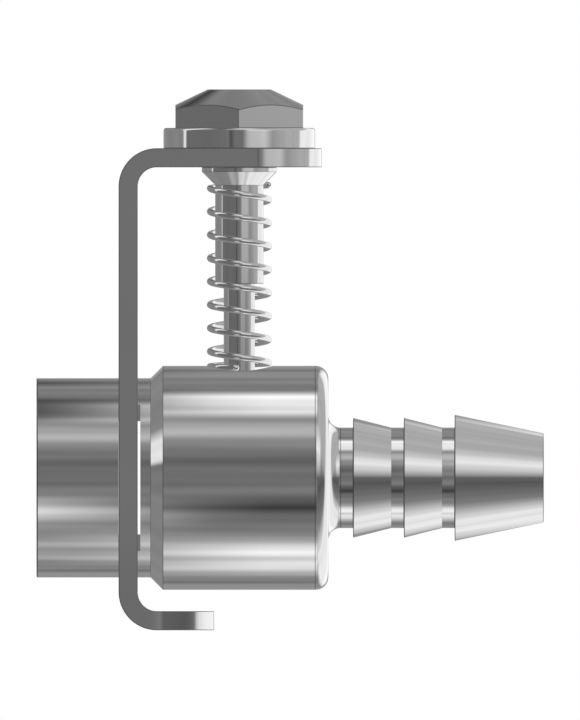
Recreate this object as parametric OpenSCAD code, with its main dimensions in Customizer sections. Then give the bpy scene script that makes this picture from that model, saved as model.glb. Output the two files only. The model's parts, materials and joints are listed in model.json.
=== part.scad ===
// Hose barb quick coupling, the socket half, with a spring-loaded thumb latch.
// The middle of the socket's mouth is the origin. +X runs along the flow axis to the hose barb,
// and +Z runs up to the thumb button. All sizes are in millimetres.

/* [Socket and body] */
// Outside diameter of the socket tube that the latch plate slides over
tube_d = 22.6; // [21.6:0.1:23.6]
// Outside diameter of the main body, as turned from bar
body_d = 25.4; // [24.6:0.1:30]
// Diameter of the socket's bore, which takes the plug
socket_d = 19.5; // [18:0.1:19.6]
// Diameter of the shallow relief inside the socket, round the latch slots
relief_d = 20; // [19.8:0.1:20.6]
// How far the relief runs past the latch slots, at each end
relief_over = 0.4; // [0.2:0.05:0.8]
// Length of the socket from its mouth to the latch slots
mouth_land = 9.26; // [6:0.1:14]
// Distance between the flats that the latch slots leave across the tube
slot_flats = 15.34; // [14.4:0.1:16.4]
// Length of tube between the latch slots and the shoulder of the body
slot_land = 1.17; // [0.8:0.01:4]
// Length of the body from the start of its shoulder to its back face
body_l = 20.16; // [19.4:0.1:26]
// Radius on the back corner of the body
body_corner_r = 1.45; // [0.6:0.05:2]
// Radius of the hollow fillet between the back face and the hose stem
neck_r = 1.35; // [0.6:0.05:1.6]
// Depth of the lead-in chamfer inside the mouth
mouth_chamfer = 0.4; // [0.2:0.05:0.7]
// Width of the broken edge on the outside of the mouth
edge_break = 0.15; // [0.05:0.05:0.3]

/* [Seal and flow bores] */
// Diameter of the inner bore that the plug's nose seals in
seal_bore_d = 14; // [13:0.1:14.6]
// Length of full socket bore behind the latch slots
socket_run = 2.6; // [1.8:0.1:3]
// Length of the seal bore, from the end of the cone that leads into it
seal_run = 8.6; // [7.8:0.1:9.4]
// Section diameter of the seal ring
ring_section = 1.78; // [1.5:0.01:1.9]
// Width of the seal ring's groove
groove_w = 2.3; // [2.1:0.05:2.5]
// Length of seal bore in front of the groove
groove_lead = 0.6; // [0.4:0.1:0.8]
// How far the seal ring stands proud of the seal bore
ring_squeeze = 0.44; // [0.3:0.01:0.5]
// Diameter of the bore through the stem and the barbs
flow_d = 8; // [6:0.1:8.4]

/* [Hose barb] */
// Diameter of the plain stem between the barbs
stem_d = 11.4; // [11:0.1:12.2]
// Length from the back face to the first barb
stem_lead = 2.8; // [2:0.1:8]
// Number of short barbs
short_barbs = 2; // [1:1:4]
// Diameter of the sharp edge of each short barb
barb_d = 13.6; // [12.6:0.1:15]
// Length of each short barb
barb_l = 4.34; // [3:0.01:6]
// Length of plain stem behind each short barb
barb_gap = 1.42; // [1:0.01:3]
// Diameter of the sharp edge of the end barb
end_barb_d = 14.3; // [12.8:0.1:16]
// Diameter of the tip, where the hose starts
tip_d = 10.1; // [9.4:0.1:10.8]
// Length of the end barb
end_barb_l = 10.11; // [7:0.01:14]

/* [Latch plate] */
// Thickness of the bent strip
plate_t = 2.17; // [1.8:0.01:2.4]
// Width of the strip
plate_w = 27; // [25.8:0.1:31]
// Inside radius of the two bends
bend_r = 2.17; // [1.2:0.01:2.6]
// Height of the top leg's underside above the flow axis
top_leg_z = 35.21; // [34:0.01:40]
// Length of the top leg past the axis of the button
top_leg_over = 9.35; // [8.8:0.05:12]
// Depth of the bottom leg's upper face below the flow axis
bottom_leg_z = 15.12; // [14.6:0.01:19]
// Length of the bottom leg, from the outer face of the strip
bottom_leg_l = 10.83; // [10.4:0.01:15]
// Radius on the end corners of both legs
leg_corner_r = 7.19; // [4:0.01:7.8]
// Free play in front of the strip, in the latch slots
play_front = 0.05; // [0.03:0.01:0.2]
// Free play behind the strip, in the latch slots
play_back = 0.29; // [0.05:0.01:0.5]

/* [Thumb button] */
// Distance from the back face of the body to the axis of the button
button_setback = 10.1; // [9.6:0.1:11]
// Diameter of the thumb flange
flange_d = 17.2; // [16:0.1:17.6]
// Thickness of the thumb flange
flange_t = 2.3; // [1.6:0.05:3]
// Radius on the edges of the thumb flange
flange_edge_r = 0.3; // [0.1:0.05:0.6]
// Width of the hexagon across its flats
hex_flats = 14.5; // [12:0.1:14.8]
// Height of the hexagon above the flange
hex_h = 4.36; // [3.6:0.05:6]
// Diameter of the flat on top of the hexagon
hex_top_d = 7.2; // [5:0.1:9]
// Slope of the turned cone on top of the hexagon, in degrees
hex_slope = 25.6; // [15:0.1:28]

/* [Guide sleeve and post] */
// Diameter of the collar that clamps the top leg
collar_d = 8.52; // [8:0.01:9.4]
// Thickness of the collar's straight edge
collar_t = 0.5; // [0.3:0.05:1]
// Outside diameter of the guide sleeve
sleeve_d = 5.48; // [5.1:0.01:5.6]
// Gap between the guide sleeve and the spot face, which sets the travel
sleeve_gap = 9.92; // [9.4:0.01:11]
// Diameter of the threaded end of the sleeve, inside the button
spigot_d = 6; // [5.4:0.1:6.4]
// Length of the threaded end inside the button
spigot_grip = 4.1; // [3:0.1:4.2]
// Diameter of the guide post
post_d = 3.54; // [3:0.01:3.8]
// Length of the post inside the sleeve at rest
post_lap = 4.3; // [3:0.1:5]
// Depth of the post's hole below the spot face
post_seat = 3.3; // [2.6:0.1:3.6]
// Diameter of the spot face on top of the body
spot_d = 7.6; // [7.5:0.05:7.9]

/* [Return spring] */
// Diameter of the spring wire
wire_d = 0.73; // [0.6:0.01:0.8]
// Mean diameter of the coil
coil_d = 6.65; // [6.6:0.01:6.7]
// Number of open turns, between the closed ends
open_turns = 7.5; // [5.5:1:8.5]

/* [Fits] */
// Gap between the latch strip and the tube, all round
latch_clear = 0.1; // [0.06:0.01:0.13]
// Gap between the guide post and the bore of the sleeve, at the radius
post_clear = 0.05; // [0.03:0.01:0.08]
// Gap left under the sleeve when the button is pressed home
stop_clear = 0.1; // [0.05:0.01:0.3]
// Gap of seated and screwed joints, at the radius
seat_clear = 0.04; // [0.02:0.01:0.06]

/* [Hidden] */
$fn = 96;
past = 1; // how far a cutting shape runs past the face that it opens
drill_slope = 31; // slope of a drill's point, in degrees from square
end_room = 0.3; // free length left past the post and the threaded end
lay_gap = 0.01; // gap under the first turn of the spring

// Stations along the flow axis
slot_x = mouth_land;
plate_x = slot_x + play_front;
slot_w = play_front + plate_t + play_back;
shoulder_x = slot_x + slot_w + slot_land;
body_x = shoulder_x + (body_d - tube_d) / 2;
back_x = shoulder_x + body_l;
button_x = back_x - button_setback;
socket_end_x = slot_x + slot_w + socket_run;
seal_bore_x = socket_end_x + (socket_d - seal_bore_d) / 2;
groove_x = seal_bore_x + groove_lead;
seal_end_x = seal_bore_x + seal_run;
drill_point = (seal_bore_d - flow_d) / 2 * tan(drill_slope);
first_barb_x = back_x + stem_lead;
barb_pitch = barb_l + barb_gap;
end_barb_x = first_barb_x + short_barbs * barb_pitch;
tip_x = end_barb_x + end_barb_l;

// Seal ring in its groove
ring_r = seal_bore_d / 2 - ring_squeeze + ring_section / 2;
groove_r = ring_r + ring_section / 2 + seat_clear;

// Heights above the flow axis
spot_cut = 0.04; // the spot face lies this far below the body where its rim meets the sides
spot_z = sqrt(pow(body_d / 2, 2) - pow(spot_d / 2, 2)) - spot_cut;
sleeve_z = spot_z + sleeve_gap;
travel = sleeve_gap - stop_clear;
top_leg_top_z = top_leg_z + plate_t;
collar_z = top_leg_z - collar_t;
cone_z = collar_z - (collar_d - sleeve_d) / 2;
post_top_z = sleeve_z + post_lap;
sleeve_bore_top_z = post_top_z + travel + end_room;
spigot_top_z = top_leg_top_z + spigot_grip;
hex_z = top_leg_top_z + flange_t;
hex_top_z = hex_z + hex_h;

// The keyhole: its round part meets the tube when the button is pressed home
keyhole_r = tube_d / 2 + latch_clear;
keyhole_flats = slot_flats + 2 * latch_clear;

// Spring seats: a closed end under the sleeve's cone, and one on the spot face
end_pitch = wire_d + 2 * lay_gap;
top_closed = 0.5;
bottom_closed = 0.75;
turns = top_closed + open_turns + bottom_closed;
spring_top_z = cone_z + (coil_d - sleeve_d) / 2 - wire_d / 2 * sqrt(2) - seat_clear;
spring_foot_z = spot_z + wire_d / 2 + lay_gap;
open_top_z = spring_top_z - top_closed * end_pitch;
open_foot_z = spring_foot_z + bottom_closed * end_pitch;
steps_per_turn = 24;
wire_sides = 8;

// Steel and rubber
body_steel = [0.72, 0.73, 0.74];
plate_steel = [0.6, 0.61, 0.62];
bright_steel = [0.8, 0.81, 0.82];
seal_rubber = [0.12, 0.12, 0.13];

// Turns a child drawn as [radius, distance] about the flow axis
module turned_on_x() {
  rotate([0, 90, 0])
    rotate_extrude()
      children();
}

// Puts a child on the button's axis
module on_button_axis(z) {
  translate([button_x, 0, z])
    children();
}

// One barb: a sharp edge that faces back, and a taper towards the tip
module barb_section(x, length, edge_d, front_d) {
  polygon([[0, x], [edge_d / 2, x], [front_d / 2, x + length], [0, x + length]]);
}

// Outline of the body and the stem, from the axis outwards
module body_section() {
  corner_x = back_x - body_corner_r;
  polygon([
    [0, 0],
    [tube_d / 2 - edge_break, 0],
    [tube_d / 2, edge_break],
    [tube_d / 2, shoulder_x],
    [body_d / 2, body_x],
    [body_d / 2, corner_x],
    [0, corner_x],
  ]);
  translate([0, corner_x])
    square([body_d / 2 - body_corner_r, body_corner_r]);
  translate([body_d / 2 - body_corner_r, corner_x])
    circle(body_corner_r);
  difference() {
    translate([0, back_x - past])
      square([stem_d / 2 + neck_r, neck_r + past]);
    translate([stem_d / 2 + neck_r, back_x + neck_r])
      circle(neck_r);
  }
  translate([0, back_x])
    square([stem_d / 2, end_barb_x - back_x + past]);
  for (i = [0 : short_barbs - 1])
    barb_section(first_barb_x + i * barb_pitch, barb_l, barb_d, stem_d);
  barb_section(end_barb_x, end_barb_l, end_barb_d, tip_d);
}

// Outline of everything that is bored out from the mouth to the tip
module bore_section() {
  polygon([
    [0, -past],
    [socket_d / 2 + mouth_chamfer + past, -past],
    [socket_d / 2, mouth_chamfer],
    [socket_d / 2, socket_end_x],
    [seal_bore_d / 2, seal_bore_x],
    [seal_bore_d / 2, seal_end_x],
    [flow_d / 2, seal_end_x + drill_point],
    [flow_d / 2, tip_x + past],
    [0, tip_x + past],
  ]);
  translate([0, slot_x - relief_over])
    square([relief_d / 2, slot_w + 2 * relief_over]);
  translate([0, groove_x])
    square([groove_r, groove_w]);
}

// The turned steel body: socket, shoulder, seal bore, stem and barbs in one piece
module coupler_body() {
  color(body_steel)
    difference() {
      turned_on_x()
        difference() {
          body_section();
          bore_section();
        }
      for (side = [-1, 1])
        translate([slot_x, side * (slot_flats / 2 + tube_d / 2) - tube_d / 2, -tube_d])
          cube([slot_w, tube_d, 2 * tube_d]);
      on_button_axis(spot_z)
        cylinder(d = spot_d, h = body_d);
      on_button_axis(spot_z - post_seat)
        cylinder(d = post_d + 2 * seat_clear, h = post_seat + past);
    }
}

// The rubber ring that seals on the plug's nose
module seal_ring() {
  color(seal_rubber)
    turned_on_x()
      translate([ring_r, groove_x + groove_w / 2])
        circle(d = ring_section);
}

// The plain pin that stands in the body and guides the sleeve
module guide_post() {
  tip_break = 0.3;
  foot_z = spot_z - post_seat + seat_clear;
  color(bright_steel)
    on_button_axis(0)
      rotate_extrude()
        polygon([
          [0, foot_z],
          [post_d / 2, foot_z],
          [post_d / 2, post_top_z - tip_break],
          [post_d / 2 - tip_break, post_top_z],
          [0, post_top_z],
        ]);
}

// Height of the wire's centre after so many turns down from the top
function wire_z(turn) =
  turn < top_closed ? spring_top_z - turn * end_pitch :
  turn > turns - bottom_closed ? spring_foot_z + (turns - turn) * end_pitch :
  open_top_z - (turn - top_closed) * (open_top_z - open_foot_z) / open_turns;

// A point on the skin of the wire: left-hand coil, so it goes anticlockwise as it comes down
function wire_point(turn, side) =
  let (reach = coil_d / 2 + wire_d / 2 * cos(side * 360 / wire_sides))
  [button_x + reach * cos(360 * turn), reach * sin(360 * turn),
   wire_z(turn) + wire_d / 2 * sin(side * 360 / wire_sides)];

// The coil spring between the spot face and the sleeve's cone
module return_spring() {
  rings = ceil(turns * steps_per_turn);
  points = [for (i = [0 : rings]) for (s = [0 : wire_sides - 1])
    wire_point(i * turns / rings, s)];
  skin = [for (i = [0 : rings - 1]) for (s = [0 : wire_sides - 1])
    let (a = i * wire_sides + s, b = i * wire_sides + (s + 1) % wire_sides)
    each [[a, b, b + wire_sides], [a, b + wire_sides, a + wire_sides]]];
  first_cap = [for (s = [wire_sides - 1 : -1 : 0]) s];
  last_cap = [for (s = [0 : wire_sides - 1]) rings * wire_sides + s];
  color(bright_steel)
    polyhedron(points, concat([first_cap, last_cap], skin), convexity = 10);
}

// A quarter bend of the strip, as drawn from the side
module bend_section(x, z, quarter) {
  outer_r = bend_r + plate_t;
  translate([x, z])
    rotate(quarter)
      intersection() {
        difference() {
          circle(outer_r);
          circle(bend_r);
        }
        square(outer_r);
      }
}

// Side view of the whole strip: top leg, back and bottom leg
module strip_section() {
  outer_r = bend_r + plate_t;
  bend_x = plate_x + outer_r;
  low_z = -bottom_leg_z - plate_t;
  translate([plate_x, low_z + outer_r])
    square([plate_t, top_leg_top_z - low_z - 2 * outer_r]);
  translate([bend_x, top_leg_z])
    square([button_x + top_leg_over - bend_x, plate_t]);
  translate([bend_x, low_z])
    square([plate_x + bottom_leg_l - bend_x, plate_t]);
  bend_section(bend_x, top_leg_top_z - outer_r, 90);
  bend_section(bend_x, low_z + outer_r, 180);
}

// What is cut away to round the two end corners of a leg
module leg_corners(end_x, z) {
  for (side = [-1, 1])
    translate([end_x - leg_corner_r, side * (plate_w / 2 - leg_corner_r), z - past])
      difference() {
        translate([0, side < 0 ? -2 * leg_corner_r : 0, 0])
          cube([2 * leg_corner_r, 2 * leg_corner_r, plate_t + 2 * past]);
        cylinder(r = leg_corner_r, h = plate_t + 2 * past);
      }
}

// The keyhole as seen along the flow axis, drawn as [across, height]
module keyhole_section() {
  translate([0, travel])
    circle(keyhole_r);
  intersection() {
    union() {
      circle(keyhole_r);
      translate([-keyhole_r, 0])
        square([2 * keyhole_r, travel]);
    }
    translate([-keyhole_flats / 2, -keyhole_r])
      square([keyhole_flats, travel + 2 * keyhole_r]);
  }
}

// The bent strip with its keyhole, which locks the plug and slides with the button
module latch_plate() {
  color(plate_steel)
    difference() {
      translate([0, plate_w / 2, 0])
        rotate([90, 0, 0])
          linear_extrude(plate_w)
            strip_section();
      leg_corners(button_x + top_leg_over, top_leg_z);
      leg_corners(plate_x + bottom_leg_l, -bottom_leg_z - plate_t);
      translate([plate_x - past, 0, 0])
        rotate([90, 0, 90])
          linear_extrude(plate_t + 2 * past)
            keyhole_section();
      on_button_axis(top_leg_z - past)
        cylinder(d = spigot_d + 2 * seat_clear, h = plate_t + 2 * past);
    }
}

// The sleeve under the button: threaded end, clamping collar, cone and guide tube
module guide_sleeve() {
  bore_r = post_d / 2 + post_clear;
  color(bright_steel)
    on_button_axis(0)
      rotate_extrude()
        difference() {
          polygon([
            [0, sleeve_z],
            [sleeve_d / 2, sleeve_z],
            [sleeve_d / 2, cone_z],
            [collar_d / 2, collar_z],
            [collar_d / 2, top_leg_z],
            [spigot_d / 2, top_leg_z],
            [spigot_d / 2, spigot_top_z],
            [0, spigot_top_z],
          ]);
          translate([0, sleeve_z - past])
            square([bore_r, sleeve_bore_top_z - sleeve_z + past]);
        }
}

// The thumb button: a round flange and a turned-off hexagon, screwed onto the sleeve
module button_cap() {
  cone_r = flange_d / 2;
  root_z = hex_z - flange_t / 2; // the hexagon is rooted half way down in the flange
  color(bright_steel)
    on_button_axis(0)
      difference() {
        union() {
          rotate_extrude() {
            translate([0, top_leg_top_z])
              square([flange_d / 2 - flange_edge_r, flange_t]);
            translate([0, top_leg_top_z])
              square([flange_d / 2, flange_t - flange_edge_r]);
            translate([flange_d / 2 - flange_edge_r, hex_z - flange_edge_r])
              circle(flange_edge_r);
          }
          intersection() {
            translate([0, 0, root_z])
              rotate([0, 0, 30])
                cylinder(d = hex_flats / cos(30), h = hex_top_z - root_z + past, $fn = 6);
            rotate_extrude()
              polygon([
                [0, top_leg_top_z],
                [cone_r, top_leg_top_z],
                [cone_r, hex_top_z - (cone_r - hex_top_d / 2) * tan(hex_slope)],
                [hex_top_d / 2, hex_top_z],
                [0, hex_top_z],
              ]);
          }
        }
        translate([0, 0, top_leg_top_z - past])
          cylinder(d = spigot_d + 2 * seat_clear, h = spigot_grip + end_room + past);
      }
}

coupler_body();
seal_ring();
guide_post();
return_spring();
latch_plate();
guide_sleeve();
button_cap();
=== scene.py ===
# %% [markdown]
# # A hose barb quick coupling, dressed for its picture
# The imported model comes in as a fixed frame: seven plain solids, in metres, each on the body
# that it moves with. Each solid then gets a finely worked piece that stands in the same place,
# with the small broken edges and the finishes that a plain solid has not got.

# %% Load the frame
import json
import math

import bmesh
import bpy
import numpy as np
from mathutils.geometry import tessellate_polygon
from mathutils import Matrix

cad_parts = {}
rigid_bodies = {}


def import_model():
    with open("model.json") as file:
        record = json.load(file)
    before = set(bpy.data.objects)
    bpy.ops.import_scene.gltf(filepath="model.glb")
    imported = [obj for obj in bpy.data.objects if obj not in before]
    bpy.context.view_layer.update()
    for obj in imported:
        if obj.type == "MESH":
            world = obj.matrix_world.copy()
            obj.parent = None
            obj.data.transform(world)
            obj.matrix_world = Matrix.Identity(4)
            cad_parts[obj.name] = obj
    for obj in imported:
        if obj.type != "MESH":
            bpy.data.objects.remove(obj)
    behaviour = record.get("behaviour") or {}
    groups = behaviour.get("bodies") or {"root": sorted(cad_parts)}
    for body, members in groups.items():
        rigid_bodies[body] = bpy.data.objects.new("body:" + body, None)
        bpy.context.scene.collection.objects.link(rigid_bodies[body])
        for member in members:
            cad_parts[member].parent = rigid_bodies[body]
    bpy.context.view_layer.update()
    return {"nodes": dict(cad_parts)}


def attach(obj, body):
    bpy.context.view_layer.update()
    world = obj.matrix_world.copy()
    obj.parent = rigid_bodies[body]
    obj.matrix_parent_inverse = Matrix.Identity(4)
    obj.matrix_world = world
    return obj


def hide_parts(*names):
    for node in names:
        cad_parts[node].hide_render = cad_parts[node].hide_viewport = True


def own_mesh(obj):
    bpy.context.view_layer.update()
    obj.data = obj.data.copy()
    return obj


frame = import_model()
MM = 0.001
print("nodes:", sorted(frame["nodes"]))

# %% [markdown]
# ## Camera
# The picture is a square side view with no perspective, so the camera is orthographic and
# looks along +Y. Its scale is the height of the picture on the object: 81.65 mm in 720 px.

# %% Camera
VIEW_HEIGHT = 81.65 * MM
VIEW_CENTRE = (28.75 * MM, -0.3, 13.36 * MM)
camera = bpy.data.objects.new("camera", bpy.data.cameras.new("camera"))
bpy.context.scene.collection.objects.link(camera)
camera.data.type = "ORTHO"
camera.data.ortho_scale = VIEW_HEIGHT
camera.data.clip_start, camera.data.clip_end = 0.01, 3.0
camera.location = VIEW_CENTRE
camera.rotation_euler = (math.radians(90), 0, 0)
bpy.context.scene.camera = camera
bpy.context.scene.view_settings.view_transform = "Standard"
print("one pixel is", round(VIEW_HEIGHT / 720 / MM, 4), "mm")

# %% [markdown]
# ## Shader sums as plain Python
# A Signal is one output socket. Adding, multiplying or comparing signals adds Math nodes, so
# that a finish reads like the sum it is. Every other node comes from Board.node, which takes
# the node's type, its settings and then the values or links of its inputs.

# %% Signals and boards
class Signal:
    """An output socket that can be used in sums."""

    def __init__(self, board, socket):
        self.board, self.socket = board, socket

    def join(self, operation, *terms):
        return self.board.node("ShaderNodeMath", {"operation": operation}, dict(enumerate(terms)))

    def __add__(self, other):
        return self.join("ADD", self, other)

    def __sub__(self, other):
        return self.join("SUBTRACT", self, other)

    def __rsub__(self, other):
        return self.join("SUBTRACT", other, self)

    def __mul__(self, other):
        return self.join("MULTIPLY", self, other)

    def __truediv__(self, other):
        return self.join("DIVIDE", self, other)

    def __rtruediv__(self, other):
        return self.join("DIVIDE", other, self)

    def __pow__(self, other):
        return self.join("POWER", self, other)

    __radd__, __rmul__ = __add__, __mul__


class Board:
    """The node tree of a material or of the world, started empty."""

    def __init__(self, owner):
        owner.use_nodes = True
        self.tree = owner.node_tree
        self.tree.nodes.clear()

    def node(self, kind, settings=None, inputs=None, output=0):
        made = self.tree.nodes.new(kind)
        for name, value in (settings or {}).items():
            setattr(made, name, value)
        for key, value in (inputs or {}).items():
            if isinstance(value, Signal):
                self.tree.links.new(value.socket, made.inputs[key])
            else:
                made.inputs[key].default_value = value
        return Signal(self, made.outputs[output]) if made.outputs else made

    def parts(self, vector):
        """The x, y and z signals of a vector."""
        split = self.node("ShaderNodeSeparateXYZ", {}, {0: vector})
        return [Signal(self, s) for s in split.socket.node.outputs]


print("shader sums are ready")

# %% [markdown]
# ## World and floor
# The background is plain white: the camera, mirror-like metal and anything clear see the
# world at strength 1, though the steel here sees the light tent, which hangs in front of it.
# Matt surfaces get a softer share of the world, and one large soft lamp above adds the rest
# and draws the shadow on the floor. The floor lies below the latch's lowest place, at the very
# bottom edge of the picture, and isn't mirrored in the steel. Its underside is clear, so that
# a view from below shows the part.

# %% World, lamp and floor
board = Board(bpy.data.worlds.new("studio"))
bpy.context.scene.world = bpy.data.worlds["studio"]
path = board.node("ShaderNodeLightPath")
sees = [Signal(board, path.socket.node.outputs[n])
        for n in ("Is Camera Ray", "Is Glossy Ray", "Is Transmission Ray")]
SOFT_SHARE = 0.55
share = sees[0].join("MAXIMUM", sees[0], sees[1])
share = share.join("MAXIMUM", share, sees[2])
sky = board.node("ShaderNodeBackground", {}, {0: (1, 1, 1, 1), 1: SOFT_SHARE + (1 - SOFT_SHARE) * share})
board.node("ShaderNodeOutputWorld", {}, {0: sky})

lamp = bpy.data.objects.new("top_lamp", bpy.data.lights.new("top_lamp", "AREA"))
bpy.context.scene.collection.objects.link(lamp)
lamp.data.shape, lamp.data.size, lamp.data.energy = "DISK", 0.35, 2.2
lamp.location = (0.0, -0.12, 0.42)
lamp.rotation_euler = (math.radians(16), 0, 0)
lamp.visible_glossy = False

FLOOR_Z = -28.0 * MM
floor_mesh = bpy.data.meshes.new("floor")
reach = 1.5
floor_mesh.from_pydata([(-reach, -reach, FLOOR_Z), (reach, -reach, FLOOR_Z),
                        (reach, reach, FLOOR_Z), (-reach, reach, FLOOR_Z)], [], [(0, 1, 2, 3)])
floor = bpy.data.objects.new("floor", floor_mesh)
bpy.context.scene.collection.objects.link(floor)
floor.visible_glossy = False
board = Board(bpy.data.materials.new("pale_floor"))
floor_mesh.materials.append(bpy.data.materials["pale_floor"])
matt = board.node("ShaderNodeBsdfPrincipled", {},
                  {"Base Color": (0.86, 0.86, 0.86, 1), "Roughness": 0.9})
clear = board.node("ShaderNodeBsdfTransparent")
below = board.node("ShaderNodeNewGeometry", {}, {}, "Backfacing")
board.node("ShaderNodeOutputMaterial", {},
           {0: board.node("ShaderNodeMixShader", {}, {0: below, 1: matt, 2: clear})})
print("floor at", FLOOR_Z / MM, "mm")

# %% [markdown]
# ## Steel finishes
# All the metal is stainless steel, and what differs is how each piece was worked. Turned
# pieces carry fine rings round their own axis, and the strip carries the grain of the rolling
# mill. The broken edges are rougher, and their colour is darkened with painted shade, so they
# read as thin dark lines. The bores are rougher too, and their colour is darkened with painted
# shade, as if little light reached inside. The marks are a stretched noise that feeds the
# roughness and a very low bump.

# %% Steel
BUTTON_X = 23.0 * MM


def steel(name, tone, rough, marks, depth):
    """Stainless steel. marks says which way the tool went: round the flow axis, round the
    button's axis, along the strip, or all ways."""
    material = bpy.data.materials.new(name)
    board = Board(material)
    coordinate = board.node("ShaderNodeTexCoord", {}, {}, "Object")
    x, y, z = board.parts(coordinate)
    if marks == "round the flow axis":
        fine = (x * 9000, (y * y + z * z) ** 0.5 * 9000, 0.0)
    elif marks == "round the button's axis":
        off = x - BUTTON_X
        fine = (z * 9000, (off * off + y * y) ** 0.5 * 9000, 0.0)
    elif marks == "along the strip":
        fine = (x * 500, y * 9000, z * 500)
    else:
        fine = (x * 3000, y * 3000, z * 3000)
    streak_place = board.node("ShaderNodeCombineXYZ", {}, dict(enumerate(fine)))
    streaks = board.node("ShaderNodeTexNoise", {}, {"Vector": streak_place, "Scale": 1.0,
                                                    "Detail": 2.0, "Roughness": 0.6})
    clouds = board.node("ShaderNodeTexNoise", {}, {"Vector": coordinate, "Scale": 220.0,
                                                   "Detail": 3.0})
    edge, bored = (board.node("ShaderNodeAttribute", {"attribute_name": name}, {}, "Fac")
                   for name in ("edge", "bored"))
    # Painted shade: the colour is darkened on the marked edge arcs, to draw thin dark lines, and on the
    # bore faces, as if little light reached inside.
    shade = (1 - edge * 0.7) * (1 - bored * 0.55)
    worked = board.node("ShaderNodeVectorMath", {"operation": "SCALE"},
                        {0: (tone, tone, tone * 1.005), "Scale": shade * (0.985 + 0.03 * clouds)})
    bump = board.node("ShaderNodeBump", {}, {"Strength": 1.0, "Distance": depth, "Height": streaks},
                      "Normal")
    skin = board.node("ShaderNodeBsdfPrincipled", {}, {
        "Base Color": worked, "Metallic": 1.0, "Normal": bump,
        "Roughness": rough * (0.8 + 0.25 * streaks + 0.15 * clouds) + edge * 0.3 + bored * 0.3})
    board.node("ShaderNodeOutputMaterial", {}, {0: skin})
    return material


BODY_STEEL = steel("turned_body_steel", 0.62, 0.04, "round the flow axis", 2e-7)
STRIP_STEEL = steel("rolled_strip_steel", 0.62, 0.08, "along the strip", 2e-7)
BUTTON_STEEL = steel("turned_button_steel", 0.62, 0.05, "round the button's axis", 2e-7)
GUIDE_STEEL = steel("ground_guide_steel", 0.62, 0.04, "round the button's axis", 1e-7)
WIRE_STEEL = steel("drawn_wire_steel", 0.62, 0.05, "all ways", 1e-7)
print("steels:", [m.name for m in bpy.data.materials if "steel" in m.name])

# %% [markdown]
# ## Seal rubber
# The ring inside is moulded black rubber: nearly black, half matt, with a faint grain.

# %% Rubber
RUBBER = bpy.data.materials.new("moulded_seal_rubber")
board = Board(RUBBER)
coordinate = board.node("ShaderNodeTexCoord", {}, {}, "Object")
grain = board.node("ShaderNodeTexNoise", {}, {"Vector": coordinate, "Scale": 6000.0, "Detail": 3.0})
bump = board.node("ShaderNodeBump", {}, {"Strength": 0.6, "Distance": 4e-6, "Height": grain}, "Normal")
black = board.node("ShaderNodeVectorMath", {"operation": "SCALE"},
                   {0: (0.03, 0.03, 0.032), "Scale": 0.8 + 0.4 * grain})
skin = board.node("ShaderNodeBsdfPrincipled", {}, {"Base Color": black, "Normal": bump,
                                                   "Roughness": 0.45 + 0.15 * grain})
board.node("ShaderNodeOutputMaterial", {}, {0: skin})
print("rubber is ready")

# %% [markdown]
# ## Outlines with broken edges
# A turned piece is one outline carried round an axis. Each corner of the outline is replaced
# by a small arc. The arc is what the eye reads as a real edge: it catches its own thin line
# of light. Marked arcs also get painted shade: the steel's colour is darkened there, so they
# show as thin dark lines. Every point also gets the direction that its surface faces, worked
# out from the arc itself, so flat faces shade flat and only the arcs turn the light.

# %% Rounding an outline
# Width of the thin painted dark line, painted shade, where a rounded corner meets a straight side.
PAINTED_LINE_WIDTH = 0.08


def rounded(corners, breaks, closed, steps=3):
    """Points, facing directions and edge marks of an outline whose corners are arcs.

    A corner with directions d0 in and d1 out turns by an angle t. Its arc of radius r touches
    both sides at r * tan(t / 2) from the corner, and faces turn evenly from one side's to the
    other's. The outline runs so that its outside is on the left. A break is a radius, or a
    pair of radius and steps. The arc of a plain radius is marked for a painted dark edge line,
    and the arc of a pair only gets a thin painted dark line at each of its ends. A mark holds
    for the stretch from its point to the next."""
    corners = np.array(corners, float)
    points, facing, marks = [], [], []
    count = len(corners)
    for k in range(count):
        radius, arc_steps, mark = breaks[k], steps, 1.0
        if isinstance(radius, tuple):
            radius, arc_steps, mark = radius[0], radius[1], 0.0
        if not closed and k in (0, count - 1):
            other = corners[1] if k == 0 else corners[-2]
            d = (other - corners[k]) * (1 if k == 0 else -1)
            d = d / np.linalg.norm(d)
            points.append(corners[k][None])
            facing.append(np.array([[-d[1], d[0]]]))
            marks.append(np.zeros(1))
            continue
        d0 = corners[k] - corners[k - 1]
        d1 = corners[(k + 1) % count] - corners[k]
        d0, d1 = d0 / np.linalg.norm(d0), d1 / np.linalg.norm(d1)
        angle = math.atan2(d0[0] * d1[1] - d0[1] * d1[0], d0 @ d1)
        side = math.copysign(1, angle)
        n0 = np.array([-d0[1], d0[0]])
        turn = np.linspace(0, 1, arc_steps + 1) * angle
        n = np.stack([n0[0] * np.cos(turn) - n0[1] * np.sin(turn),
                      n0[0] * np.sin(turn) + n0[1] * np.cos(turn)], -1)
        middle = corners[k] - d0 * radius * math.tan(abs(angle) / 2) + side * n0 * radius
        arc_points = middle - side * n * radius
        mark_list = np.append(np.full(arc_steps, mark), 0.0)
        if mark == 0.0:
            arc_points = np.vstack([arc_points[:1] - d0 * PAINTED_LINE_WIDTH, arc_points,
                                    arc_points[-1:] + d1 * PAINTED_LINE_WIDTH])
            n = np.vstack([n[:1], n, n[-1:]])
            mark_list = np.concatenate([[1.0], mark_list[:-1], [1.0, 0.0]])
        points.append(arc_points)
        facing.append(n)
        marks.append(mark_list)
    return np.vstack(points), np.vstack(facing), np.concatenate(marks)


outline_test = rounded([(0, 0), (0, 2), (3, 2), (3, 0)], [0, 0.1, 0.1, 0], False)
print("a plain pin's outline has", len(outline_test[0]), "points")

# %% [markdown]
# ## Making the mesh
# One helper writes points, faces, facing directions and edge marks into a mesh, and one more
# carries an outline round an axis. Where the outline starts or ends on the axis, the mesh
# closes in a single point.

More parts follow.
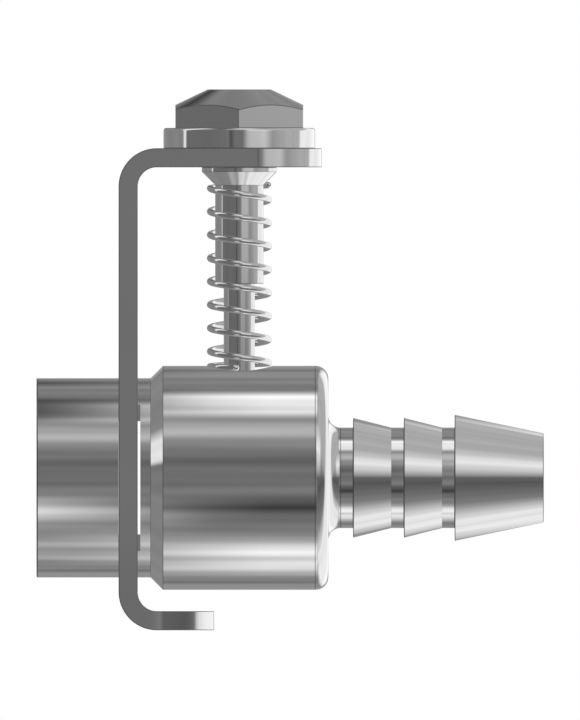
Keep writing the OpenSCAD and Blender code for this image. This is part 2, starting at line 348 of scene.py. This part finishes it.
# %% Mesh helpers
def shape(name, points, faces, facing, marks, material, body, slot, *nodes):
    """A finished piece from arrays in millimetres. It rides on body and stands for nodes."""
    mesh = bpy.data.meshes.new(name)
    mesh.from_pydata((points * MM).tolist(), [], faces)
    mesh.attributes.new("edge", "FLOAT", "FACE").data.foreach_set("value", marks.astype(np.float32))
    mesh.polygons.foreach_set("use_smooth", np.ones(len(mesh.polygons), bool))
    if facing is not None:
        mesh.normals_split_custom_set_from_vertices(facing.tolist())
    mesh.materials.append(material)
    piece = bpy.data.objects.new(name, mesh)
    bpy.context.scene.collection.objects.link(piece)
    piece.visible_glossy = False
    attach(piece, body)
    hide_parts(*nodes)
    print(name, len(mesh.vertices), "points,", sum(len(f) - 2 for f in faces), "triangles")
    return piece


def woven(rows, sides, first_pole, last_pole, closed):
    """Faces of a grid of rows by sides that is closed round its sides, and the row of each.
    A pole row is one point, and its faces are triangles."""
    index, start = [], 0
    for row in range(rows):
        pole = (row == 0 and first_pole) or (row == rows - 1 and last_pole)
        index.append(np.full(sides, start) if pole else np.arange(start, start + sides))
        start += 1 if pole else sides
    index = np.array(index)
    low, high = (index, np.roll(index, -1, 0)) if closed else (index[:-1], index[1:])
    quads = np.stack([low, np.roll(low, -1, 1), np.roll(high, -1, 1), high], -1).reshape(-1, 4)
    flat = quads[:, 0] == quads[:, 1]
    peak = quads[:, 2] == quads[:, 3]
    of_row = np.repeat(np.arange(len(low)), sides)
    faces = (quads[~flat & ~peak].tolist() + quads[flat][:, [0, 2, 3]].tolist()
             + quads[peak][:, [0, 1, 2]].tolist())
    return faces, np.concatenate([of_row[~flat & ~peak], of_row[flat], of_row[peak]])


def carried_round(outline, axis, centre, sides, closed):
    """Points, faces, facing and marks of an outline of (along, radius) turned about an axis.

    A point is centre + along * axis + radius * (cos a * e1 + sin a * e2), and it faces
    along-part * axis + radius-part * (cos a * e1 + sin a * e2)."""
    stations, normals, marks = outline
    e1, e2 = {"x": ((0, 1, 0), (0, 0, 1)), "z": ((1, 0, 0), (0, 1, 0))}[axis]
    e0 = np.array((1, 0, 0) if axis == "x" else (0, 0, 1))
    a = np.linspace(0, 2 * np.pi, sides, endpoint=False)
    out = np.cos(a)[:, None] * np.array(e1) + np.sin(a)[:, None] * np.array(e2)
    first, last = (not closed and stations[k, 1] < 1e-9 for k in (0, -1))

    def spread(pairs, base):
        grid = base + pairs[:, None, :1] * e0 + pairs[:, None, 1:] * out
        rows = [grid[k][:1] if (k == 0 and first) or (k == len(grid) - 1 and last) else grid[k]
                for k in range(len(grid))]
        return np.vstack(rows)

    faces, of_row = woven(len(stations), sides, first, last, closed)
    return (spread(stations, np.array(centre, float)), faces, spread(normals, np.zeros(3)),
            marks[of_row])


print("mesh helpers are ready")

# %% [markdown]
# ## Light tent
# Polished steel has no look of its own: it shows what stands round it. So a studio puts such
# a part in a grey tent and hangs a few large cloths and flags in it, and the soft bands on the
# steel are these cloths. The tent is a ball that only the metal sees. There are five tones of
# cloth, written as they come out on the steel. The cloths are large, and their places are
# written in tens of degrees and tenths of the tent.

# %% What hangs in the tent
WHITE, PALE, GREY, DIM, DARK = 0.9, 0.66, 0.5, 0.4, 0.22
# Stretches of the tent, from -1 at its left end to 1 at its right end, as (middle, half length)
LEFT, MOUTH, LONG, BACK, RIGHT = (-0.6, 0.5), (-0.1, 0.2), (0.1, 0.3), (0.2, 0.2), (0.7, 0.4)
# Each is (degrees up from the viewer, half height, soft rim, stretch, tone)
SIDE_CLOTHS = [(10, 100, 40, LEFT, DIM), (90, 20, 10, LEFT, WHITE), (170, 60, 30, RIGHT, WHITE),
               (-120, 70, 40, RIGHT, WHITE), (70, 70, 10, RIGHT, PALE), (-10, 50, 70, RIGHT, DARK)]
HIGH_CLOTHS = [(80, 20, 10, BACK, WHITE), (90, 20, 10, MOUTH, DARK), (140, 20, 20, MOUTH, DARK),
               (50, 20, 20, LONG, PALE)]
LOW_CLOTHS = [(-90, 30, 20, BACK, WHITE), (-90, 20, 10, MOUTH, PALE), (-40, 20, 20, MOUTH, WHITE),
              (-30, 20, 20, BACK, DARK)]
FRONT_CLOTHS = [(10, 20, 10, LONG, DIM), (10, 20, 10, (-0.1, 0.1), DARK), (30, 30, 30, (0.5, 0.3), WHITE)]
CLOTHS = SIDE_CLOTHS + HIGH_CLOTHS + LOW_CLOTHS + FRONT_CLOTHS
STRETCH_RIM = 0.13
STEEL_TONE = 0.62
TENT_R = 0.2


def light_for(tone):
    """The light that a cloth gives, so that steel shows it as this display tone."""
    return ((tone + 0.055) / 1.055) ** 2.4 / STEEL_TONE


def hung(turn, along):
    """Light of the tent: its grey wall, and each cloth in turn in front of what hangs behind.
    A cloth covers all up to its soft rim, and over the rim its cover falls evenly to nothing.
    A cloth that is all rim, and more, is a thin gauze.
    The cloth hangs in soft folds: three waves, with 9, 17 and 31 to a turn, that lean a little
    along the tent. Towards both of its ends it is pulled tight, and the folds fade."""
    light = np.full(turn.shape, light_for(GREY))
    for up, half_height, rim, (middle, half_length), tone in CLOTHS:
        off = np.abs((turn - up + 180) % 360 - 180)
        cover = np.clip((half_height - off) / rim, 0, 1)
        cover = cover * np.clip((half_length - np.abs(along - middle)) / STRETCH_RIM, 0, 1)
        light = light + (light_for(tone) - light) * cover
    t = np.radians(turn)
    folds = (0.13 * np.sin(9 * t + 4 * along) + 0.1 * np.sin(17 * t - 7 * along + 1)
             + 0.07 * np.sin(31 * t + 5 * along + 2))
    return light * (1 + folds * np.clip(1.3 - 2.5 * np.abs(along), 0.25, 1))


print("cloths and flags in the tent:", len(CLOTHS))

# %% The tent
TENT_ROWS, TENT_SIDES = 201, 360
row_place = np.linspace(-1, 1, TENT_ROWS)
along, turn = np.meshgrid(row_place, np.arange(TENT_SIDES) - 180.0, indexing="ij")
reach = np.sqrt(1 - along ** 2)
ball = TENT_R * np.stack([along, -reach * np.cos(np.radians(turn)),
                          reach * np.sin(np.radians(turn))], -1)
light = hung(turn, along)
tent_mesh = bpy.data.meshes.new("light_tent")
tent_mesh.from_pydata(np.vstack([ball[0][:1], ball[1:-1].reshape(-1, 3), ball[-1][:1]]).tolist(), [],
                      woven(TENT_ROWS, TENT_SIDES, True, True, False)[0])
tent_mesh.attributes.new("light", "FLOAT", "POINT").data.foreach_set("value", np.concatenate(
    [[light[0].mean()], light[1:-1].ravel(), [light[-1].mean()]]).astype(np.float32))
tent = bpy.data.objects.new("light_tent", tent_mesh)
bpy.context.scene.collection.objects.link(tent)
tent.visible_camera = tent.visible_diffuse = tent.visible_shadow = False
tent.visible_transmission = tent.visible_volume_scatter = False

board = Board(bpy.data.materials.new("tent_cloth"))
tent_mesh.materials.append(bpy.data.materials["tent_cloth"])
held = board.node("ShaderNodeAttribute", {"attribute_name": "light"}, {}, "Fac")
glow = board.node("ShaderNodeEmission", {}, {0: (1, 1, 1, 1), 1: held})
board.node("ShaderNodeOutputMaterial", {}, {0: glow})
print("tent of", TENT_R, "m round the part,", len(tent_mesh.vertices), "points")

# %% [markdown]
# ## Guide post and guide sleeve
# The post is a ground pin pressed into the body. The sleeve slides over it and hangs from the
# thumb button: a threaded end inside the button, a thin collar and a cone under the strip,
# and a plain tube. Both are outlines of (height, radius) carried round the button's axis.

# %% Post and sleeve
BUTTON_AXIS = (23.0, 0, 0)
post = rounded([(8.818, 0), (8.818, 1.77), (25.998, 1.77), (26.298, 1.47), (26.298, 0)],
               [0, 0.1, 0.08, 0.06, 0], False)
shape("ground_guide_pin", *carried_round(post, "z", BUTTON_AXIS, 128, False), GUIDE_STEEL,
      "coupler", "guide_steel", "guide_post")

sleeve = rounded([(36.418, 0), (36.418, 1.82), (21.998, 1.82), (21.998, 2.74), (33.19, 2.74),
                  (34.71, 4.26), (35.21, 4.26), (35.21, 3.0), (41.48, 3.0), (41.48, 0)],
                 [0, 0.15, 0.06, 0.08, 0.06, 0.06, 0.08, 0.1, 0.1, 0], False)
shape("turned_guide_sleeve", *carried_round(sleeve, "z", BUTTON_AXIS, 128, False), GUIDE_STEEL,
      "latch", "guide_steel", "guide_sleeve")

# %% [markdown]
# ## Seal ring
# A round rubber section.

# %% Seal ring
RING_X, RING_R, RING_SECTION = 18.87, 7.45, 0.89
turn = np.linspace(0, 2 * np.pi, 32, endpoint=False)
face = np.stack([np.sin(turn), np.cos(turn)], -1)
ring = (np.array([RING_X, RING_R]) + RING_SECTION * face, face, np.zeros(len(turn)))
shape("rubber_seal_ring", *carried_round(ring, "x", (0, 0, 0), 128, True), RUBBER,
      "coupler", "seal_rubber", "seal_ring")

# %% [markdown]
# ## Return spring
# The wire follows a left-hand helix: half a closed turn under the cone, seven and a half open
# turns, and three quarters of a closed turn on the spot face. Both ends are domed over.

# %% Spring
WIRE_R, COIL_R = 0.365, 3.325
SPRING_TOP_Z, OPEN_TOP_Z, OPEN_FOOT_Z, SPRING_FOOT_Z = 33.219, 32.844, 13.016, 12.453
TOP_CLOSED, OPEN_TURNS, BOTTOM_CLOSED = 0.5, 7.5, 0.75
PER_TURN, WIRE_SIDES, DOME_STEPS = 64, 20, 5


def coiled():
    """The wire's skin: a circle of the wire's radius, square to the wire's run, along
    (R cos t, R sin t, z(t)), with z(t) in three straight runs. At the ends the circle shrinks
    as a half ball does: radius r cos q at a distance r sin q back from the tip's plane."""
    turns = TOP_CLOSED + OPEN_TURNS + BOTTOM_CLOSED
    t = np.linspace(0, turns, int(turns * PER_TURN) + 1)
    dome = np.linspace(np.pi / 2, 0, DOME_STEPS + 1)[:-1]
    arc = WIRE_R / COIL_R / (2 * np.pi)
    t = np.concatenate([arc * (1 - np.sin(dome)), t[(t > arc) & (t < turns - arc)],
                        turns - arc * (1 - np.sin(dome[::-1]))])
    swell = np.ones(len(t))
    swell[:DOME_STEPS], swell[-DOME_STEPS:] = np.cos(dome), np.cos(dome[::-1])
    swell = np.maximum(swell, 0)
    height = np.interp(t, [0, TOP_CLOSED, TOP_CLOSED + OPEN_TURNS, turns],
                       [SPRING_TOP_Z, OPEN_TOP_Z, OPEN_FOOT_Z, SPRING_FOOT_Z])
    out = np.stack([np.cos(2 * np.pi * t), np.sin(2 * np.pi * t), 0 * t], -1)
    line = np.array(BUTTON_AXIS) + COIL_R * out + height[:, None] * np.array([0, 0, 1])
    run = np.gradient(line, axis=0)
    run /= np.linalg.norm(run, axis=1)[:, None]
    up = np.cross(out, run)
    s = np.linspace(0, 2 * np.pi, WIRE_SIDES, endpoint=False)
    round_wire = np.cos(s)[None, :, None] * out[:, None] - np.sin(s)[None, :, None] * up[:, None]
    slope = np.zeros(len(t))
    slope[:DOME_STEPS], slope[-DOME_STEPS:] = -np.sin(dome), np.sin(dome[::-1])
    faces_out = swell[:, None, None] * round_wire + slope[:, None, None] * run[:, None]
    skin = line[:, None] + WIRE_R * swell[:, None, None] * round_wire
    rows = len(t)
    points = np.vstack([skin[0][:1], skin[1:-1].reshape(-1, 3), skin[-1][:1]])
    facing = np.vstack([faces_out[0][:1], faces_out[1:-1].reshape(-1, 3), faces_out[-1][:1]])
    faces, of_row = woven(rows, WIRE_SIDES, True, True, False)
    return points, faces, facing, 0.0 * of_row


spring = shape("coiled_return_spring", *coiled(), WIRE_STEEL, "coupler", "spring_steel",
               "return_spring")
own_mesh(spring)

# %% [markdown]
# ## Thumb button
# The button is turned and milled from one bar: a round flange with a rolled-over top edge, a
# hexagon on it, and a cone turned over the top of the hexagon, which leaves the arched crests
# on the six sides. The columns of the mesh follow the hexagon's outline, with a small arc on
# each of its corners, and the rows run from the top's middle, over the crest, down the side,
# over the flange and up into the threaded hole.

# %% Button
HEX_FLATS, HEX_Z, HEX_TOP_Z, FLAT_TOP_R, CONE_SLOPE = 14.5, 39.68, 44.04, 3.6, 25.6
FLANGE_R, FLANGE_FOOT_Z, FLANGE_EDGE = 8.6, 37.38, 0.3
HOLE_R, HOLE_TOP_Z = 3.04, 41.78


def hexagon(corner_r, per_side, per_corner):
    """Points and facing of a hexagon with rounded corners, one of them towards the viewer.

    The corner arcs have their middles on a smaller hexagon, at (f / 2 - r) / cos 30 from the
    axis, and each turns by 60 degrees. Between two arcs the side is straight."""
    points, facing = [], []
    reach = (HEX_FLATS / 2 - corner_r) / math.cos(math.pi / 6)
    for k in range(6):
        here, ahead = np.radians([60 * k - 90, 60 * k - 30])
        a = here + np.radians(np.linspace(-30, 30, per_corner + 1))
        n = np.stack([np.cos(a), np.sin(a)], -1)
        arc = reach * np.array([math.cos(here), math.sin(here)]) + corner_r * n
        begin = arc[-1]
        end = reach * np.array([math.cos(ahead), math.sin(ahead)]) + corner_r * n[-1]
        part = np.linspace(0, 1, per_side + 1)[1:-1, None]
        points += [arc, begin + (end - begin) * part]
        facing += [n, np.repeat(n[-1:], per_side - 1, 0)]
    return np.vstack(points), np.vstack(facing)


def button_rows():
    """Rows of the button, each as points, facing and the mark of the faces that follow, from
    the middle of the top to the middle of the hole. The cone's height is z = top - (radius -
    flat radius) * tan(slope)."""
    side, side_n = hexagon(0.12, 20, 4)
    reach = np.linalg.norm(side, axis=1)[:, None]
    out = side / reach
    slope = math.radians(CONE_SLOPE)
    up = np.array([0, 0, 1.0])
    cone_n = np.hstack([out * math.sin(slope), np.full((len(out), 1), math.cos(slope))])
    flat_n = np.tile(up, (len(out), 1))
    wall_n = np.hstack([side_n, np.zeros((len(out), 1))])
    round_n = np.hstack([out, np.zeros((len(out), 1))])
    edge = 0.07

    def on_cone(radius):
        return np.hstack([out * radius, HEX_TOP_Z - (radius - FLAT_TOP_R) * math.tan(slope)])

    def ring(radius, z):
        return np.hstack([out * radius, np.full((len(out), 1), z)])

    def unit(v):
        return v / np.linalg.norm(v, axis=1)[:, None]

    crest = on_cone(reach)
    rows = [(ring(0, HEX_TOP_Z), flat_n, 0), (ring(FLAT_TOP_R - edge, HEX_TOP_Z), flat_n, 1),
            (ring(FLAT_TOP_R, HEX_TOP_Z) - up * 0.008, unit(flat_n + cone_n), 1),
            (on_cone(FLAT_TOP_R + np.full_like(reach, edge)), cone_n, 0),
            (on_cone(reach - edge), cone_n, 1),
            (crest - 0.035 * unit(cone_n + wall_n), unit(cone_n + wall_n), 1),
            (crest - up * edge, wall_n, 0)]
    foot = np.hstack([side, np.full((len(side), 1), HEX_Z)])
    rows += [(foot + up * 0.06, wall_n, 1),
             (foot + wall_n * 0.018 + up * 0.018, unit(wall_n + flat_n), 1),
             (foot + wall_n * 0.06, flat_n, 0)]
    for q in np.linspace(0, np.pi / 2, 7):
        rows.append((ring(FLANGE_R - FLANGE_EDGE + FLANGE_EDGE * math.sin(q),
                          HEX_Z - FLANGE_EDGE + FLANGE_EDGE * math.cos(q)),
                     flat_n * math.cos(q) + round_n * math.sin(q), 0))
    rows += [(ring(FLANGE_R, FLANGE_FOOT_Z + edge), round_n, 1),
             (ring(FLANGE_R - 0.02, FLANGE_FOOT_Z + 0.02), unit(round_n - flat_n), 1),
             (ring(FLANGE_R - edge, FLANGE_FOOT_Z), -flat_n, 0),
             (ring(HOLE_R + edge, FLANGE_FOOT_Z), -flat_n, 0),
             (ring(HOLE_R, FLANGE_FOOT_Z + edge), -round_n, 0),
             (ring(HOLE_R, HOLE_TOP_Z), -round_n, 0), (ring(HOLE_R, HOLE_TOP_Z), -flat_n, 0),
             (ring(0, HOLE_TOP_Z), -flat_n, 0)]
    return rows


def button():
    """The rows woven into one skin. They run inwards at the top, so the faces are turned."""
    rows = button_rows()
    grids = [np.array([r[k] for r in rows]) for k in range(2)]
    points, facing = [np.vstack([g[0][:1], g[1:-1].reshape(-1, 3), g[-1][:1]]) for g in grids]
    faces, of_row = woven(len(rows), len(rows[0][0]), True, True, False)
    marks = np.array([float(r[2]) for r in rows])
    return points + np.array(BUTTON_AXIS), [f[::-1] for f in faces], facing, marks[of_row]


shape("hexagon_thumb_button", *button(), BUTTON_STEEL, "latch", "button_steel", "button_cap")

# %% [markdown]
# ## Latch plate
# The plate starts as a flat blank with rounded ends, a hole and a keyhole, and is then bent
# twice. The mesh goes the same way: the blank's outline and its holes get walls and broken
# edges, the two faces are filled, the sheet is scored across where it bends, and each point
# (u along, v across, w deep) is carried to its place on the bent strip.

# %% The blank
PLATE_X, PLATE_T, PLATE_W, BEND_IN = 9.31, 2.17, 27.0, 2.17
BEND_OUT = BEND_IN + PLATE_T
LOW_Z, TOP_Z, BOTTOM_END_X, TOP_END_X = -17.29, 37.38, 20.14, 32.35
BEND_X = PLATE_X + BEND_OUT
BEND_RUN = math.pi / 2 * (BEND_IN + PLATE_T / 2)
STATIONS = np.cumsum([0, BOTTOM_END_X - BEND_X, BEND_RUN, TOP_Z - LOW_Z - 2 * BEND_OUT, BEND_RUN,
                      TOP_END_X - BEND_X])
KEYHOLE_R, KEYHOLE_HALF, TRAVEL, SPIGOT_HOLE_R, LEG_CORNER = 11.4, 7.77, 9.82, 3.04, 7.19


def arc(u, v, radius, begin, end, steps):
    """Points of an arc round (u, v), from one angle to another, in degrees."""
    a = np.radians(np.linspace(begin, end, steps + 1))
    return np.stack([u + radius * np.cos(a), v + radius * np.sin(a)], -1)


def blank_outlines():
    """The blank's edge, anticlockwise, and its two holes, clockwise, as (u, v) points."""
    half, c = PLATE_W / 2, LEG_CORNER
    length = STATIONS[-1]
    painted_line_u = length - c - PAINTED_LINE_WIDTH
    edge = np.vstack([arc(c, half - c, c, 90, 180, 24), arc(c, c - half, c, 180, 270, 24),
                      [(painted_line_u, -half)], arc(length - c, c - half, c, 270, 360, 24),
                      arc(length - c, half - c, c, 0, 90, 24), [(painted_line_u, half)]])
    hole_u = STATIONS[4] + BUTTON_AXIS[0] - BEND_X
    hole = arc(hole_u, 0, SPIGOT_HOLE_R, 360, 0, 72)[:-1]
    axis_u = STATIONS[2] + (0 - LOW_Z - BEND_OUT)
    low = math.degrees(math.asin(KEYHOLE_HALF / KEYHOLE_R))
    key = np.vstack([arc(axis_u, 0, KEYHOLE_R, 180 + low, 180 - low, 36),
                     arc(axis_u + TRAVEL, 0, KEYHOLE_R, 180 - low, low - 180, 96)])
    return edge, key, hole


for line, name in zip(blank_outlines(), ("blank", "keyhole", "hole")):
    print(name, "outline of", len(line), "points")

# %% Walls and faces of the blank
def facing_of(line):
    """Which way each point of a closed line faces: the mean of its two sides' directions."""
    before, ahead = line - np.roll(line, 1, 0), np.roll(line, -1, 0) - line
    run = before / np.linalg.norm(before, axis=1)[:, None] + ahead / np.linalg.norm(
        ahead, axis=1)[:, None]
    n = np.stack([run[:, 1], -run[:, 0]], -1)
    return n / np.linalg.norm(n, axis=1)[:, None]


def blank_solid(edge_r=0.09):
    """Points, faces, facing and marks of the blank, with w from 0 outside to the thickness."""
    points, facing, marks, faces, start, rims = [], [], [], [], 0, []
    for line in blank_outlines():
        n = facing_of(line)
        q = np.radians([90, 60, 30, 0])
        inset = np.concatenate([edge_r * (1 - np.cos(q)), edge_r * (1 - np.cos(q[::-1]))])
        deep = np.concatenate([edge_r * (1 - np.sin(q)), PLATE_T - edge_r * (1 - np.sin(q[::-1]))])
        face_w = np.concatenate([-np.sin(q), np.sin(q[::-1])])
        face_n = np.concatenate([np.cos(q), np.cos(q[::-1])])
        count = len(line)
        for i in range(8):
            points.append(np.hstack([line - n * inset[i], np.full((count, 1), deep[i])]))
            facing.append(np.hstack([n * face_n[i], np.full((count, 1), face_w[i])]))
        # Marks of 1 get painted shade in the steel: the rounded rims, and on the walls a thin painted
        # dark line where each end's corner arc begins.
        wall = np.zeros(count)
        ahead = np.linalg.norm(np.roll(line, -1, 0) - line, axis=1)
        wall[np.abs(ahead - PAINTED_LINE_WIDTH) < 1e-6] = 1
        marks.append(np.concatenate([np.ones(3 * count), wall, np.ones(3 * count)]))
        at = start + np.arange(8 * count).reshape(8, count)
        after = np.roll(at, -1, 1)
        faces += np.stack([at[:-1], after[:-1], after[1:], at[1:]], -1).reshape(-1, 4).tolist()
        rims.append((at[0], at[-1]))
        start += 8 * count
    points, facing = np.vstack(points), np.vstack(facing)
    for level in (0, 1):
        index = np.concatenate([r[level] for r in rims])
        loops = [[(*points[i][:2], 0) for i in r[level]] for r in rims]
        filled = index[np.array(tessellate_polygon(loops))]
        a, b, c = (points[filled[:, k], :2] for k in range(3))
        up = (b - a)[:, 0] * (c - a)[:, 1] - (b - a)[:, 1] * (c - a)[:, 0] > 0
        wrong = up if level == 0 else ~up
        filled[wrong] = filled[wrong][:, ::-1]
        faces += filled.tolist()
        marks.append(np.zeros(len(filled)))
    return points, faces, facing, np.concatenate(marks)


blank = blank_solid()
print("the blank is", round(STATIONS[-1], 2), "mm long, with", len(blank[1]), "faces")

# %% Scoring and bending
def scored(points, faces, facing, marks):
    """The blank cut across at every few degrees of both bends. New points take their facing
    from the edges that are cut, and new faces their mark from the face that is cut."""
    mesh = bpy.data.meshes.new("flat_blank")
    mesh.from_pydata(points.tolist(), [], faces)
    mesh.attributes.new("facing", "FLOAT_VECTOR", "POINT").data.foreach_set("vector", facing.ravel())
    mesh.attributes.new("mark", "FLOAT", "FACE").data.foreach_set("value", marks)
    work = bmesh.new()
    work.from_mesh(mesh)
    for begin, end in ((STATIONS[1], STATIONS[2]), (STATIONS[3], STATIONS[4])):
        for u in np.linspace(begin, end, 19):
            bmesh.ops.bisect_plane(work, geom=work.verts[:] + work.edges[:] + work.faces[:],
                                   plane_co=(u, 0, 0), plane_no=(1, 0, 0), dist=1e-5)
    work.to_mesh(mesh)
    work.free()
    count = len(mesh.vertices)
    flat, turned, edges = np.empty(count * 3), np.empty(count * 3), np.empty(len(mesh.polygons))
    mesh.vertices.foreach_get("co", flat)
    mesh.attributes["facing"].data.foreach_get("vector", turned)
    mesh.attributes["mark"].data.foreach_get("value", edges)
    cut = [list(f.vertices) for f in mesh.polygons]
    bpy.data.meshes.remove(mesh)
    return flat.reshape(-1, 3), cut, turned.reshape(-1, 3), edges


def bent(flat, facing):
    """Carries (u, v, w) to the strip: straight runs at the legs and the back, and quarter
    turns between, where a point lies at (outer radius - w) from the bend's middle."""
    u, v, w = flat.T
    share = [np.clip((u - STATIONS[k]) / (STATIONS[k + 1] - STATIONS[k]), 0, 1) for k in (1, 3)]
    angle = np.pi / 2 * (share[0] + share[1])
    run = np.stack([-np.cos(angle), 0 * u, np.sin(angle)], -1)
    deep = np.stack([np.sin(angle), 0 * u, np.cos(angle)], -1)
    first_middle = np.array([BEND_X, 0, LOW_Z + BEND_OUT])
    second_middle = np.array([BEND_X, 0, TOP_Z - BEND_OUT])
    middle = np.where((share[1] > 0)[:, None], second_middle, first_middle)
    legs = (np.minimum(u - STATIONS[1], 0) + np.clip(u - STATIONS[2], 0, STATIONS[3] - STATIONS[2])
            * (share[1] <= 0) + np.maximum(u - STATIONS[4], 0))
    points = middle + run * legs[:, None] + deep * (w - BEND_OUT)[:, None]
    points[:, 1] -= v
    faces_out = run * facing[:, :1] + deep * facing[:, 2:]
    faces_out[:, 1] -= facing[:, 1]
    return points, faces_out / np.linalg.norm(faces_out, axis=1)[:, None]


flat, cut, turned_to, edges = scored(*blank)
strip_points, strip_facing = bent(flat, turned_to)
shape("bent_latch_strip", strip_points, cut, strip_facing, edges, STRIP_STEEL, "latch",
      "plate_steel", "latch_plate")

# %% [markdown]
# ## Coupler body
# The body is turned from one bar. Its outline is closed: out along the socket tube, the
# shoulder and the barbs to the tip, and back through the flow bore, the seal bore, the ring's
# groove and the socket. The latch slots, the spot face and the post's hole are then cut.

# %% Outline of the body
BODY_R, TUBE_R, STEM_R, NECK, CORNER = 12.7, 11.3, 5.7, 1.35, 1.45
BACK_X, TIP_X = 33.10, 57.53
outside = [(0, TUBE_R, .15), (12.94, TUBE_R, .06), (14.34, BODY_R, .1),
           (BACK_X, BODY_R, (CORNER, 14)),
           (BACK_X, STEM_R, (NECK, 12)), (35.90, STEM_R, .05), (35.90, 6.8, .08),
           (40.24, STEM_R, .05), (41.66, STEM_R, .05), (41.66, 6.8, .08), (46.00, STEM_R, .05),
           (47.42, STEM_R, .05), (47.42, 7.15, .08), (TIP_X, 5.05, .12)]
inside = [(TIP_X, 4.0, .2), (27.52, 4.0, .05), (25.72, 7.0, .05), (20.02, 7.0, .05),
          (20.02, 8.38, .05), (17.72, 8.38, .05), (17.72, 7.0, .05), (17.12, 7.0, .05),
          (14.37, 9.75, .05), (12.17, 9.75, .05), (12.17, 10.0, .05), (8.86, 10.0, .05),
          (8.86, 9.75, .05), (0.4, 9.75, .05), (0, 10.15, .08)]
body_line = rounded([c[:2] for c in outside + inside], [c[2] for c in outside + inside], True)
print("the body's outline has", len(body_line[0]), "points")

# %% Cutting the body
def cutter(name, points, faces):
    mesh = bpy.data.meshes.new(name)
    mesh.from_pydata((np.array(points, float) * MM).tolist(), [], faces)
    piece = bpy.data.objects.new(name, mesh)
    bpy.context.scene.collection.objects.link(piece)
    return piece


def block(name, low, high):
    """A box cutter between two corners."""
    corners = [[(low, high)[i][0], (low, high)[j][1], (low, high)[k][2]]
               for i in (0, 1) for j in (0, 1) for k in (0, 1)]
    return cutter(name, corners, [(0, 1, 3, 2), (4, 6, 7, 5), (0, 4, 5, 1), (2, 3, 7, 6),
                                  (0, 2, 6, 4), (1, 5, 7, 3)])


def plug(name, radius, low, high, sides=96):
    """An upright round cutter on the button's axis."""
    a = np.linspace(0, 2 * np.pi, sides, endpoint=False)
    rim = np.stack([BUTTON_AXIS[0] + radius * np.cos(a), radius * np.sin(a)], -1)
    points = np.vstack([np.hstack([rim, np.full((sides, 1), z)]) for z in (low, high)])
    k = np.arange(sides)
    wall = np.stack([k, (k + 1) % sides, (k + 1) % sides + sides, k + sides], -1).tolist()
    return cutter(name, points, wall + [list(k[::-1]), list(k + sides)])


def cut_body(sides=256):
    """The turned skin less its cutters. Every face keeps the number of its row in the outline,
    and each corner then faces as that row does at that point, so the cuts don't spoil the
    shine. A face from a cutter has the number -1 and stays flat."""
    points, faces, _, marks = carried_round(body_line, "x", (0, 0, 0), sides, True)
    skin = cutter("body_skin", points, faces)
    row = np.repeat(np.arange(len(body_line[0])), sides) + 1
    skin.data.attributes.new("row", "INT", "FACE").data.foreach_set("value", row.astype(np.int32))
    skin.data.attributes.new("edge", "FLOAT", "FACE").data.foreach_set(
        "value", marks.astype(np.float32))
    tools = [block("slot_left", (9.295, 7.67, -20), (11.77, 20, 20)),
             block("slot_right", (9.295, -20, -20), (11.77, -7.67, 20)),
             plug("spot_face", 3.8, 12.078, 16), plug("post_hole", 1.81, 8.778, 13)]
    for tool in tools:
        change = skin.modifiers.new(tool.name, "BOOLEAN")
        change.operation, change.solver, change.object = "DIFFERENCE", "EXACT", tool
    graph = bpy.context.evaluated_depsgraph_get()
    mesh = bpy.data.meshes.new_from_object(skin.evaluated_get(graph))
    for piece in [skin] + tools:
        bpy.data.objects.remove(piece)
    return mesh


def corner_facing(mesh):
    """Facing of every corner: the outline's own, at that point's share of its row."""
    stations, normals, _ = body_line
    co = np.empty(len(mesh.vertices) * 3)
    mesh.vertices.foreach_get("co", co)
    co = co.reshape(-1, 3) / MM
    row = np.empty(len(mesh.polygons), np.int32)
    mesh.attributes["row"].data.foreach_get("value", row)
    flat = np.empty(len(mesh.polygons) * 3)
    mesh.polygons.foreach_get("normal", flat)
    sizes = np.empty(len(mesh.polygons), np.int32)
    mesh.polygons.foreach_get("loop_total", sizes)
    vertex = np.empty(len(mesh.loops), np.int32)
    mesh.loops.foreach_get("vertex_index", vertex)
    row, flat = np.repeat(row, sizes) - 1, np.repeat(flat.reshape(-1, 3), sizes, 0)
    at = co[vertex]
    radius = np.hypot(at[:, 1], at[:, 2])
    begin, end = stations[row], stations[(row + 1) % len(stations)]
    run = end - begin
    share = ((at[:, 0] - begin[:, 0]) * run[:, 0] + (radius - begin[:, 1]) * run[:, 1]) / np.maximum(
        (run ** 2).sum(1), 1e-12)
    share = np.clip(share, 0, 1)[:, None]
    n = normals[row] * (1 - share) + normals[(row + 1) % len(stations)] * share
    n /= np.linalg.norm(n, axis=1)[:, None]
    out = at[:, 1:] / np.maximum(radius, 1e-9)[:, None]
    facing = np.hstack([n[:, :1], n[:, 1:] * out])
    facing[row < 0] = flat[row < 0]
    return facing


body_mesh = cut_body()
facing = corner_facing(body_mesh)
body_mesh.polygons.foreach_set("use_smooth", np.ones(len(body_mesh.polygons), bool))
body_mesh.normals_split_custom_set(facing.tolist())
row = np.empty(len(body_mesh.polygons), np.int32)
body_mesh.attributes["row"].data.foreach_get("value", row)
# Painted shade: the bore faces are marked, and the steel darkens their colour as if little light reached
# inside them. They are also rougher.
first_bored = int(np.argmax(body_line[0][:, 1] < 4.3))
bored = ((row > first_bored) & (row < len(body_line[0]))).astype(np.float32)
body_mesh.attributes.new("bored", "FLOAT", "FACE").data.foreach_set("value", bored)
body_mesh.materials.clear()
body_mesh.materials.append(BODY_STEEL)
body_mesh.name = "turned_coupler_body"
body = bpy.data.objects.new("turned_coupler_body", body_mesh)
bpy.context.scene.collection.objects.link(body)
body.visible_glossy = False
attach(body, "coupler")
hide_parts("coupler_body")
print("body:", len(body_mesh.vertices), "points,", sum(len(p.vertices) - 2 for p in body_mesh.polygons),
      "triangles")
